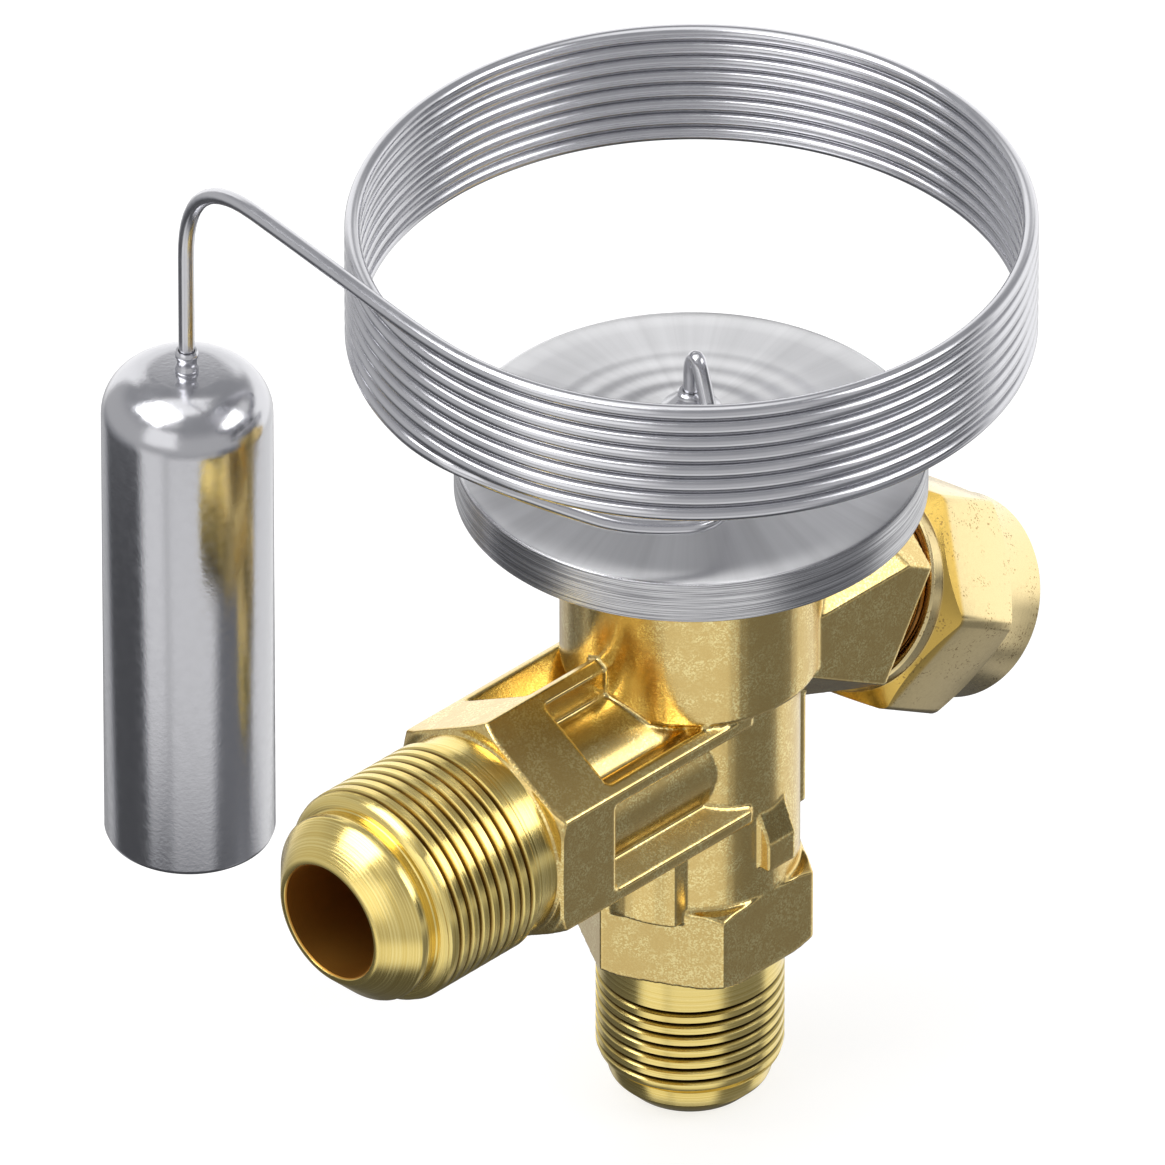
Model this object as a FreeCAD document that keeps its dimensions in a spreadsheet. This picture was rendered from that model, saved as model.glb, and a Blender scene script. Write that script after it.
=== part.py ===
import FreeCAD, Part
import math
import os
from types import SimpleNamespace

import Sketcher

# Angle-way thermostatic expansion valve.
# Frame: +Z up the valve axis, origin on that axis where the inlet's full thread begins,
# outlet along -X, superheat spindle in the XZ plane towards +X and 30.5 degrees below level.

SIZES = {
    # Inlet flare end, pointing down
    "inlet_thread_radius": 7.9375,
    "inlet_thread_length": 8.5,
    "inlet_thread_chamfer": 0.7,
    "inlet_collar_length": 3.2,
    "inlet_nose_radius": 6.95,
    "inlet_nose_length": 1.85,
    "inlet_cone_length": 1.5,
    "inlet_bore_radius": 4.6,
    "inlet_hex_across": 18.5,
    "inlet_hex_length": 7.7,
    "hex_chamfer": 0.9,
    # Forged stem and neck
    "stem_radius": 9.2,
    "stem_length": 20.3,
    "neck_radius": 10.97,
    "neck_length": 16.8,
    "neck_chamfer": 1.2,
    "pad_radius": 10.35,
    "pad_width": 12.6,
    "rear_rib_width": 8.6,
    "rear_rib_bottom": 2.3,
    "lug_width": 3.2,
    "lug_offset": 0.5,
    "lug_reach": 10.4,
    "lug_bottom": 3.2,
    "lug_height": 6.1,
    "lug_slope": 3.4,
    "lug_root": 0.3,
    # Outlet flare end, along -X
    "outlet_rise": 14.0,
    "outlet_core_radius": 7.8,
    "outlet_hex_across": 19.0,
    "outlet_hex_start": 18.2,
    "outlet_hex_length": 6.4,
    "outlet_rib_start": 2.0,
    "outlet_rib_width": 1.9,
    "outlet_collar_radius": 9.1,
    "outlet_collar_length": 2.8,
    "outlet_thread_radius": 9.525,
    "outlet_thread_length": 10.6,
    "outlet_thread_chamfer": 0.8,
    "outlet_groove_radius": 8.2,
    "outlet_groove_length": 0.7,
    "outlet_nose_radius": 8.4,
    "outlet_nose_length": 1.1,
    "outlet_cone_length": 2.7,
    "outlet_bore_radius": 5.15,
    "outlet_bore_floor": 12.0,
    # Spindle boss, along the inclined axis
    "spindle_angle": 30.5,
    "spindle_rise": 8.5,
    "boss_hex_across": 18.6,
    "boss_length": 19.3,
    "boss_top_drop": 0.1,
    "boss_bevel": 3.5,
    "boss_thread_radius": 7.5,
    "boss_thread_length": 6.7,
    # Passages inside the forging
    "passage_radius": 3.6,
    "passage_dome": 1.9,
    "orifice_shoulder": 23.3,
    "chamber_radius": 8.2,
    "chamber_floor_rise": 1.1,
    "running_clearance": 0.05,
    "loose_clearance": 0.2,
    "fusion_overlap": 1.0,
    # Thermostatic element
    "element_radius": 19.75,
    "element_flange": 1.8,
    "element_rim": 1.9,
    "diaphragm_thickness": 0.2,
    "diaphragm_inset": 0.05,
    "cover_sheet": 0.9,
    "cover_annulus_rise": 0.65,
    "cover_ridge_radius": 12.9,
    "cover_ridge_height": 0.35,
    "cover_ridge_width": 0.7,
    "cover_dome_rise": 2.5,
    "cover_dome_bulge": 0.15,
    "cover_centre_radius": 3.2,
    "housing_spigot_length": 2.7,
    "housing_spigot_wall": 1.25,
    "housing_recess_radius": 14.5,
    "housing_recess_depth": 0.8,
    "ferrule_radius": 2.6,
    "ferrule_top_radius": 1.15,
    "ferrule_height": 1.9,
    "ferrule_collar": 0.5,
    # Push rod and superheat spring
    "push_pin_radius": 1.25,
    "thrust_pad_thickness": 1.8,
    "thrust_pad_boss": 1.4,
    "superheat_spring_radius": 5.4,
    "superheat_wire_radius": 0.6,
    "superheat_coils": 4.0,
    "spring_seat_thickness": 1.6,
    "spring_seat_drop": 2.4,
    # Setting spindle and its forked plunger
    "plunger_radius": 4.0,
    "plunger_tip": 1.2,
    "plunger_end": 14.5,
    "plunger_travel": 1.25,
    "fork_half_width": 1.45,
    "fork_depth": 2.8,
    "spindle_screw_radius": 1.9,
    "spindle_screw_start": 9.6,
    "spindle_collar_radius": 4.75,
    "spindle_collar_start": 16.1,
    "spindle_collar_length": 1.5,
    "spindle_stem_radius": 2.5,
    "spindle_end": 25.4,
    "driver_slot_width": 0.9,
    "driver_slot_depth": 1.3,
    "gland_bore_radius": 5.05,
    "gland_bore_start": 16.0,
    "packing_length": 2.0,
    "gland_length": 4.2,
    "gland_chamfer": 0.8,
    # Seal cap
    "cap_start": 21.5,
    "cap_ring_radius": 10.2,
    "cap_ring_length": 1.3,
    "cap_mouth_radius": 9.0,
    "cap_mouth_depth": 1.1,
    "cap_hex_across": 18.8,
    "cap_hex_end": 31.7,
    "cap_hex_chamfer": 1.3,
    "cap_hex_turn": 22.5,
    "cap_end_radius": 8.7,
    "cap_end": 37.7,
    "cap_end_chamfer": 0.7,
    "cap_cavity_radius": 5.2,
    "cap_cavity_end": 29.5,
    "cap_gasket_thickness": 0.8,
    # Orifice assembly and strainer, inside the inlet
    "orifice_length": 12.0,
    "orifice_spigot_length": 2.2,
    "orifice_cavity_radius": 3.2,
    "orifice_cavity_top": 2.2,
    "orifice_port_radius": 1.6,
    "orifice_ring_radius": 0.38,
    "orifice_ring_station": 5.5,
    "poppet_radius": 2.4,
    "poppet_length": 3.4,
    "poppet_stem_rise": 1.0,
    "poppet_stem_gap": 0.4,
    "orifice_spring_radius": 2.1,
    "orifice_wire_radius": 0.3,
    "orifice_coils": 4.0,
    "spring_cup_length": 1.6,
    "spring_cup_wall": 0.5,
    "spring_cup_floor": 0.8,
    "strainer_collar_length": 1.5,
    "strainer_collar_lip": 0.6,
    "strainer_collar_step": 1.4,
    "strainer_collar_floor": 0.5,
    "strainer_radius": 4.1,
    "strainer_wall": 0.35,
    "strainer_length": 8.0,
    # Capillary tube and sensing bulb
    "capillary_radius": 0.68,
    "capillary_coil_radius": 28.1,
    "capillary_pitch": 1.44,
    "capillary_turns": 8,
    "capillary_coil_height": 9.47,
    "capillary_run_in": 4.0,
    "capillary_exit_angle": 173.5,
    "capillary_tail": 32.1,
    "bulb_radius": 7.2,
    "bulb_length": 42.4,
    "bulb_knuckle": 4.4,
    "bulb_drop": 21.0,
    "bulb_neck_length": 2.5,
    "bulb_neck_radius": 0.95,
}


class Size:
    """A number together with the sheet expression that gives it."""

    def __init__(self, value, text=None):
        self.value = value
        self.text = text or repr(value)

    def joined(self, other, sign, value):
        return Size(value, f"({self.text} {sign} {other.text})")

    def __add__(self, other):
        other = as_size(other)
        return self.joined(other, "+", self.value + other.value)

    def __sub__(self, other):
        other = as_size(other)
        return self.joined(other, "-", self.value - other.value)

    def __mul__(self, other):
        other = as_size(other)
        return self.joined(other, "*", self.value * other.value)

    def __truediv__(self, other):
        other = as_size(other)
        return self.joined(other, "/", self.value / other.value)

    def __neg__(self):
        return Size(-self.value, f"(-1 * {self.text})")


def as_size(value):
    return value if isinstance(value, Size) else Size(value)


def sine(angle):
    return Size(math.sin(math.radians(angle.value)), f"sin({angle.text})")


def cosine(angle):
    return Size(math.cos(math.radians(angle.value)), f"cos({angle.text})")


def fill_sheet():
    sheet = document.addObject("Spreadsheet::Sheet", "Sizes")
    for row, (alias, value) in enumerate(SIZES.items(), 1):
        sheet.set(f"A{row}", alias)
        sheet.set(f"B{row}", str(value))
        sheet.setAlias(f"B{row}", alias)
    document.recompute()
    return SimpleNamespace(**{alias: Size(value, f"Sizes.{alias}") for alias, value in SIZES.items()})


document = FreeCAD.newDocument("expansion_valve")
size = fill_sheet()

ZERO = Size(0)
UPRIGHT = FreeCAD.Vector(0, 0, 1)
LEVEL = FreeCAD.Vector(0, 1, 0)

# Stations that several sub-parts share
inlet_tip = -(size.inlet_thread_chamfer + size.inlet_nose_length + size.inlet_cone_length)
hex_bottom = size.inlet_thread_length + size.inlet_collar_length
hex_top = hex_bottom + size.inlet_hex_length
neck_bottom = hex_top + size.stem_length
neck_top = neck_bottom + size.neck_length
outlet_height = hex_top + size.outlet_rise
spindle_height = neck_bottom + size.spindle_rise
chamber_floor = neck_bottom + size.chamber_floor_rise
diaphragm_bottom = neck_top + size.element_flange
cover_bottom = diaphragm_bottom + size.diaphragm_thickness
cover_rim_top = cover_bottom + size.element_rim
cover_centre = cover_rim_top + size.cover_dome_rise
seat_bottom = spindle_height - size.spring_seat_drop
seat_top = seat_bottom + size.spring_seat_thickness
pad_bottom = diaphragm_bottom - size.thrust_pad_thickness
outlet_thread_start = size.outlet_hex_start + size.outlet_hex_length + size.outlet_collar_length
outlet_tip = (outlet_thread_start + size.outlet_thread_length + size.outlet_groove_length
              + size.outlet_nose_length + size.outlet_cone_length)
boss_thread_end = size.boss_length + size.boss_thread_length
orifice_bottom = size.orifice_shoulder - size.orifice_length
orifice_top = size.orifice_shoulder + size.orifice_spigot_length
port_bottom = size.orifice_shoulder - size.orifice_cavity_top

# Frames: where local +Z points, and the point of the valve axis that it starts from
FRAMES = {
    "valve": (ZERO, ZERO),
    "outlet": (outlet_height, Size(-90)),
    "spindle": (spindle_height, size.spindle_angle + 90),
}


def bind(item, name, value):
    """Ties one property of an object to the sheet."""
    value = as_size(value)
    item.setExpression(name, value.text)


def place(item, frame, along=ZERO, turn=0.0):
    """Puts an object in a frame, moved along that frame's axis and turned about it."""
    height, tilt = FRAMES[frame]
    rotation = FreeCAD.Rotation(LEVEL, tilt.value)
    if frame == "valve":
        rotation = FreeCAD.Rotation(UPRIGHT, turn)
    elif turn:
        rotation = rotation.multiply(FreeCAD.Rotation(UPRIGHT, turn))
    item.Placement = FreeCAD.Placement(FreeCAD.Vector(), rotation)
    if frame == "spindle" and not turn:
        bind(item, "Placement.Rotation.Angle", tilt)
    bind(item, "Placement.Base.x", sine(tilt) * along)
    bind(item, "Placement.Base.z", height + cosine(tilt) * along)
    return item


def draw(sketch, corners, names=("x", "y")):
    """Closes a polygon through the corners and ties each corner to the sheet."""
    count = len(corners)
    spots = [FreeCAD.Vector(as_size(x).value, as_size(y).value, 0) for x, y in corners]
    for index in range(count):
        sketch.addGeometry(Part.LineSegment(spots[index], spots[(index + 1) % count]), False)
    for index in range(count):
        sketch.addConstraint(Sketcher.Constraint("Coincident", index, 2, (index + 1) % count, 1))
    for index, corner in enumerate(corners):
        for kind, name, value in zip(("DistanceX", "DistanceY"), names, corner):
            value = as_size(value)
            number = sketch.addConstraint(Sketcher.Constraint(kind, index, 1, value.value))
            sketch.renameConstraint(number, f"{name}{index}")
            bind(sketch, f"Constraints.{name}{index}", value)


def sketched_body(label, role, corners):
    body = document.addObject("PartDesign::Body", label)
    body.Label = label
    plane = [item for item in body.Origin.OriginFeatures if item.Role == role][0]
    sketch = body.newObject("Sketcher::SketchObject", label + "_profile")
    sketch.AttachmentSupport = [(plane, "")]
    sketch.MapMode = "FlatFace"
    draw(sketch, corners)
    return body, sketch


def turned(label, corners, frame="valve"):
    """A turned piece: corners are (radius, station along the frame's axis)."""
    body, sketch = sketched_body(label, "XZ_Plane", corners)
    turning = body.newObject("PartDesign::Revolution", label + "_turning")
    turning.Profile = sketch
    turning.ReferenceAxis = (sketch, ["V_Axis"])
    turning.Angle = 360
    return place(body, frame)


def padded_profile(label, role, corners, length):
    """A piece of one outline, as thick as length, half on each side of its plane."""
    body, sketch = sketched_body(label, role, corners)
    pad = body.newObject("PartDesign::Pad", label + "_pad")
    pad.Profile = sketch
    pad.Midplane = True
    bind(pad, "Length", length)
    return body


def cylinder(label, radius, start, end, frame="valve"):
    item = document.addObject("Part::Cylinder", label)
    bind(item, "Radius", radius)
    bind(item, "Height", end - start)
    return place(item, frame, start)


def hexagon(label, across, start, end, frame="valve", turn=0.0):
    item = document.addObject("Part::Prism", label)
    item.Polygon = 6
    bind(item, "Circumradius", across / math.sqrt(3))
    bind(item, "Height", end - start)
    return place(item, frame, start, turn)


def box(label, low, high):
    item = document.addObject("Part::Box", label)
    for name, axis, start, end in zip(("Length", "Width", "Height"), "xyz", low, high):
        bind(item, name, as_size(end) - start)
        bind(item, f"Placement.Base.{axis}", start)
    return item


def torus(label, ring, section, height):
    item = document.addObject("Part::Torus", label)
    bind(item, "Radius1", ring)
    bind(item, "Radius2", section)
    return place(item, "valve", height)


def joined(label, *items):
    item = document.addObject("Part::MultiFuse", label)
    item.Label = label
    item.Shapes = list(items)
    item.Refine = True
    return item


def shared(label, first, second):
    item = document.addObject("Part::Common", label)
    item.Label = label
    item.Base = first
    item.Tool = second
    return item


def cut(label, base, *tools):
    item = document.addObject("Part::Cut", label)
    item.Label = label
    item.Base = base
    item.Tool = tools[0] if len(tools) == 1 else joined(label + "_tools", *tools)
    return item


def chamfered_hexagon(label, across, start, end, chamfer, frame="valve", turn=0.0, both=True):
    """A hexagon whose corners are turned back at the far end, or at both ends."""
    corner = across / math.sqrt(3)
    flat = corner - chamfer
    near = flat if both else corner
    slope = chamfer * math.tan(math.radians(30))
    turning = turned(label + "_corners", [
        (ZERO, start), (near, start), (corner, start + slope),
        (corner, end - slope), (flat, end), (ZERO, end)], frame)
    return shared(label, hexagon(label + "_bar", across, start, end, frame, turn), turning)


def rounded_route(points):
    """Straight runs through the points, joined by tangent arcs, as a list of edges."""
    edges = []
    last = points[0]
    for before, corner, after in zip(points, points[1:], points[2:]):
        arrive = (corner - before).normalize()
        leave = (after - corner).normalize()
        turn = arrive.getAngle(leave)
        setback = 0.45 * min(before.distanceToPoint(corner), corner.distanceToPoint(after))
        radius = setback / math.tan(turn / 2)
        start = corner - arrive * setback
        end = corner + leave * setback
        inward = (leave - arrive).normalize()
        middle = corner + inward * (radius / math.cos(turn / 2) - radius)
        edges.append(Part.LineSegment(last, start).toShape())
        edges.append(Part.Arc(start, middle, end).toShape())
        last = end
    edges.append(Part.LineSegment(last, points[-1]).toShape())
    return edges


def wound(radius, pitch, turns, start_angle, bottom, clockwise=True):
    """A coil as half turns: each is an arc tilted by half a pitch, tangent to the next."""
    side = -1 if clockwise else 1
    edges = []
    for half in range(int(round(2 * turns))):
        spots = []
        for quarter in range(3):
            angle = math.radians(start_angle + side * (180 * half + 90 * quarter))
            height = bottom + pitch * (half / 2 + quarter / 4)
            spots.append(FreeCAD.Vector(radius * math.cos(angle), radius * math.sin(angle), height))
        edges.append(Part.Arc(*spots).toShape())
    return edges


def swept(label, edges, radius):
    """A round wire or tube along tangent lines and arcs: cylinders and pieces of torus, sewn up."""
    start = edges[0].valueAt(edges[0].FirstParameter)
    heading = edges[0].tangentAt(edges[0].FirstParameter)
    disc = Part.Face(Part.Wire([Part.Circle(start, heading, radius).toShape()]))
    faces = [disc]
    for edge in edges:
        near = edge.valueAt(edge.FirstParameter)
        far = edge.valueAt(edge.LastParameter)
        if isinstance(edge.Curve, Part.Line):
            piece = disc.extrude(far - near)
        else:
            centre = edge.Curve.Center
            axis = (near - centre).cross(edge.tangentAt(edge.FirstParameter))
            piece = disc.revolve(centre, axis, math.degrees(edge.Length / edge.Curve.Radius))
        ends = [face for face in piece.Faces if isinstance(face.Surface, Part.Plane)]
        faces += [face for face in piece.Faces if not isinstance(face.Surface, Part.Plane)]
        disc = min(ends, key=lambda face: face.CenterOfMass.distanceToPoint(far))
    shell = Part.makeShell(faces + [disc])
    shell.sewShape()
    solid = Part.Solid(shell)
    if solid.Volume < 0:
        solid.reverse()
    item = document.addObject("Part::Feature", label)
    item.Label = label
    item.Shape = solid
    length = sum(edge.Length for edge in edges)
    print(label, "length", round(length, 1), "volume ratio",
          round(solid.Volume / (math.pi * radius ** 2 * length), 4))
    return item


def compression_spring(label, coil_radius, wire_radius, coils, low, high):
    """A spring whose wire lies just inside the two faces that it bears on."""
    clearance = size.running_clearance.value
    bottom = low.value + wire_radius.value + clearance
    top = high.value - wire_radius.value - clearance
    edges = wound(coil_radius.value, (top - bottom) / coils.value, coils.value, 0, bottom)
    return swept(label, edges, wire_radius.value)


def valve_forging():
    """The brass forging: inlet, stem, neck, outlet arm and spindle boss as one solid."""
    inlet_rim = size.inlet_nose_radius - size.inlet_cone_length
    stem = turned("stem_turning", [
        (ZERO, inlet_tip), (inlet_rim, inlet_tip),
        (size.inlet_nose_radius, inlet_tip + size.inlet_cone_length),
        (size.inlet_nose_radius, -size.inlet_thread_chamfer),
        (size.inlet_thread_radius - size.inlet_thread_chamfer, -size.inlet_thread_chamfer),
        (size.inlet_thread_radius, ZERO),
        (size.inlet_thread_radius, hex_bottom + size.fusion_overlap),
        (size.stem_radius, hex_bottom + size.fusion_overlap),
        (size.stem_radius, neck_bottom - size.neck_chamfer),
        (size.neck_radius, neck_bottom),
        (size.neck_radius, neck_top),
        (ZERO, neck_top)])
    inlet_hex = chamfered_hexagon("inlet_hex", size.inlet_hex_across, hex_bottom, hex_top, size.hex_chamfer)
    pad_bottom_end = hex_top - size.fusion_overlap
    pad = shared("side_pad",
                 cylinder("side_pad_round", size.pad_radius, pad_bottom_end, outlet_height),
                 box("side_pad_block", (-size.pad_radius, -size.pad_width / 2, pad_bottom_end),
                     (ZERO, size.pad_width / 2, outlet_height)))
    rib = shared("rear_rib",
                 cylinder("rear_rib_round", size.pad_radius, hex_top + size.rear_rib_bottom, neck_bottom),
                 box("rear_rib_block", (ZERO, -size.rear_rib_width / 2, hex_top + size.rear_rib_bottom),
                     (size.pad_radius, size.rear_rib_width / 2, neck_bottom)))
    return joined("forging", stem, inlet_hex, pad, rib, *[lug(side) for side in (-1, 1)],
                  *outlet_arm(), *spindle_boss())


def lug(side):
    """A forged lug on the stem, with a sloping top."""
    bottom = hex_top + size.lug_bottom
    name = "front_lug" if side < 0 else "rear_lug"
    outer = size.lug_reach * side
    inner = (size.stem_radius - size.fusion_overlap * 2) * side
    skin = (size.stem_radius - size.lug_root) * side
    body = padded_profile(name, "YZ_Plane", [
        (inner, bottom), (outer, bottom), (outer, bottom + size.lug_height - size.lug_slope),
        (skin, bottom + size.lug_height), (inner, bottom + size.lug_height)], size.lug_width)
    bind(body, "Placement.Base.x", size.lug_offset)
    return body


def outlet_arm():
    """The outlet arm: a hexagon relieved to a round core between six ribs, then the flare end."""
    hex_end = size.outlet_hex_start + size.outlet_hex_length
    thread_end = outlet_thread_start + size.outlet_thread_length
    groove_end = thread_end + size.outlet_groove_length
    nose_end = groove_end + size.outlet_nose_length
    turning = turned("outlet_turning", [
        (ZERO, ZERO),
        (size.outlet_core_radius, ZERO),
        (size.outlet_core_radius, hex_end - size.fusion_overlap),
        (size.outlet_collar_radius, hex_end - size.fusion_overlap),
        (size.outlet_collar_radius, outlet_thread_start),
        (size.outlet_thread_radius, outlet_thread_start),
        (size.outlet_thread_radius, thread_end - size.outlet_thread_chamfer),
        (size.outlet_thread_radius - size.outlet_thread_chamfer, thread_end),
        (size.outlet_groove_radius, thread_end),
        (size.outlet_groove_radius, groove_end),
        (size.outlet_nose_radius, groove_end),
        (size.outlet_nose_radius, nose_end),
        (size.outlet_nose_radius - size.outlet_cone_length, outlet_tip),
        (ZERO, outlet_tip)], "outlet")
    bar = chamfered_hexagon("outlet_hex", size.outlet_hex_across, size.outlet_hex_start, hex_end,
                            size.hex_chamfer, "outlet", both=False)
    ribs = shared("outlet_ribs",
                  hexagon("outlet_rib_bar", size.outlet_hex_across, size.outlet_rib_start,
                          size.outlet_hex_start, "outlet"),
                  joined("outlet_rib_planes", *[rib_plane(turn) for turn in (0, 60, 120)]))
    return turning, bar, ribs


def rib_plane(turn):
    """A slab through two opposite corners of the outlet hexagon."""
    slab = document.addObject("Part::Box", f"outlet_rib_{turn}")
    reach = size.outlet_hex_across * 1.2
    tilt = FreeCAD.Rotation(FreeCAD.Vector(1, 0, 0), turn)
    slab.Placement = FreeCAD.Placement(FreeCAD.Vector(), tilt)
    bind(slab, "Length", size.outlet_hex_start)
    bind(slab, "Width", size.outlet_rib_width)
    bind(slab, "Height", reach)
    angle = Size(turn)
    half_width = size.outlet_rib_width / 2
    half_reach = reach / 2
    bind(slab, "Placement.Base.x", -size.outlet_hex_start)
    bind(slab, "Placement.Base.y", sine(angle) * half_reach - cosine(angle) * half_width)
    bind(slab, "Placement.Base.z", outlet_height - cosine(angle) * half_reach - sine(angle) * half_width)
    return slab


def spindle_boss():
    """The inclined boss: a hexagon bar with a level, bevelled top, then the cap's thread."""
    top = spindle_height - size.boss_top_drop
    half = size.boss_hex_across / 2
    margin = size.fusion_overlap
    bevel_low = top - size.boss_bevel - margin
    bar = hexagon("boss_bar", size.boss_hex_across, size.neck_radius / 3, size.boss_length, "spindle")
    envelope = padded_profile("boss_envelope", "YZ_Plane", [
        (-half - margin, bevel_low), (-half + size.boss_bevel, top),
        (half - size.boss_bevel, top), (half + margin, bevel_low),
        (half + margin, hex_top), (-half - margin, hex_top)], size.boss_length * 3)
    thread = cylinder("boss_thread", size.boss_thread_radius, size.boss_length - size.fusion_overlap,
                      boss_thread_end, "spindle")
    return shared("boss", bar, envelope), thread


def valve_bores():
    """The passages, turned about the three axes of the forging."""
    guide = size.push_pin_radius + size.running_clearance
    dome = outlet_height + size.passage_dome
    upright = turned("upright_bore", [
        (ZERO, inlet_tip), (size.inlet_bore_radius, inlet_tip),
        (size.inlet_bore_radius, size.orifice_shoulder), (size.passage_radius, size.orifice_shoulder),
        (size.passage_radius, dome), (guide, dome), (guide, chamber_floor),
        (size.chamber_radius, chamber_floor), (size.chamber_radius, neck_top), (ZERO, neck_top)])
    step = size.outlet_bore_radius - size.passage_radius
    outlet = turned("outlet_bore", [
        (ZERO, ZERO), (size.passage_radius, ZERO), (size.passage_radius, size.outlet_bore_floor),
        (size.outlet_bore_radius, size.outlet_bore_floor + step),
        (size.outlet_bore_radius, outlet_tip), (ZERO, outlet_tip)], "outlet")
    slide = size.plunger_radius + size.running_clearance
    spindle = turned("spindle_bore", [
        (ZERO, -(size.plunger_tip + size.plunger_travel)),
        (slide, -(size.plunger_tip + size.plunger_travel)),
        (slide, size.gland_bore_start), (size.gland_bore_radius, size.gland_bore_start),
        (size.gland_bore_radius, boss_thread_end), (ZERO, boss_thread_end)], "spindle")
    return upright, outlet, spindle


def valve_body():
    return cut("valve_body", valve_forging(), *valve_bores())


def element():
    """The diaphragm element: lower housing, diaphragm, upper cover and the capillary's ferrule."""
    spigot = size.chamber_radius - size.running_clearance
    spigot_bore = spigot - size.housing_spigot_wall
    recess = diaphragm_bottom - size.housing_recess_depth
    bottom = neck_top - size.housing_spigot_length
    housing = turned("element_lower_housing", [
        (spigot_bore, bottom), (spigot, bottom), (spigot, neck_top), (size.element_radius, neck_top),
        (size.element_radius, diaphragm_bottom), (size.housing_recess_radius, diaphragm_bottom),
        (size.housing_recess_radius, recess), (spigot_bore, recess)])
    disc = cylinder("element_diaphragm", size.element_radius - size.diaphragm_inset,
                    diaphragm_bottom, cover_bottom)
    ridge_foot = cover_rim_top + size.cover_annulus_rise
    ridge_out = size.cover_ridge_radius + size.cover_ridge_width
    ridge_in = size.cover_ridge_radius - size.cover_ridge_width
    hole = size.capillary_radius + size.running_clearance
    inner_rise = cover_centre - size.cover_sheet
    cover = turned("element_upper_cover", [
        (size.housing_recess_radius, cover_bottom),
        (size.element_radius, cover_bottom),
        (size.element_radius, cover_rim_top),
        (ridge_out, ridge_foot),
        (size.cover_ridge_radius, ridge_foot + size.cover_ridge_height),
        (ridge_in, ridge_foot),
        ((size.cover_centre_radius + ridge_in) / 2, (ridge_foot + cover_centre) / 2 + size.cover_dome_bulge),
        (size.cover_centre_radius, cover_centre),
        (hole, cover_centre),
        (hole, inner_rise),
        (size.cover_centre_radius, inner_rise)])
    ferrule_top = cover_centre + size.ferrule_height
    ferrule = turned("capillary_ferrule", [
        (hole, cover_centre), (size.ferrule_radius, cover_centre),
        (size.ferrule_radius, cover_centre + size.ferrule_collar),
        (size.ferrule_top_radius, ferrule_top - size.ferrule_collar),
        (size.ferrule_top_radius, ferrule_top), (hole, ferrule_top)])
    return housing, disc, cover, ferrule


def push_rod():
    """What the diaphragm pushes: the thrust pad, the push pin and the orifice poppet."""
    pad_radius = (size.chamber_radius - size.running_clearance - size.housing_spigot_wall
                  - size.running_clearance)
    boss = pad_bottom - size.thrust_pad_boss
    socket = size.push_pin_radius + size.running_clearance
    boss_radius = size.superheat_spring_radius - size.superheat_wire_radius - size.loose_clearance
    pad = turned("thrust_pad", [
        (ZERO, pad_bottom), (socket, pad_bottom), (socket, boss), (boss_radius, boss),
        (boss_radius, pad_bottom), (pad_radius, pad_bottom), (pad_radius, diaphragm_bottom),
        (ZERO, diaphragm_bottom)])
    poppet_top = orifice_top + size.poppet_stem_rise
    pin = cylinder("push_pin", size.push_pin_radius, poppet_top, pad_bottom)
    stem = size.orifice_port_radius - size.poppet_stem_gap
    spigot = size.orifice_spring_radius - size.orifice_wire_radius * 2
    poppet = turned("orifice_poppet", [
        (ZERO, port_bottom - size.poppet_length), (spigot, port_bottom - size.poppet_length),
        (spigot, port_bottom - size.poppet_length / 2),
        (size.poppet_radius, port_bottom - size.poppet_length / 2),
        (size.poppet_radius, port_bottom - size.poppet_length / 4),
        (size.orifice_port_radius, port_bottom - size.running_clearance),
        (stem, port_bottom - size.running_clearance), (stem, poppet_top), (ZERO, poppet_top)])
    return pad, pin, poppet


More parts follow.
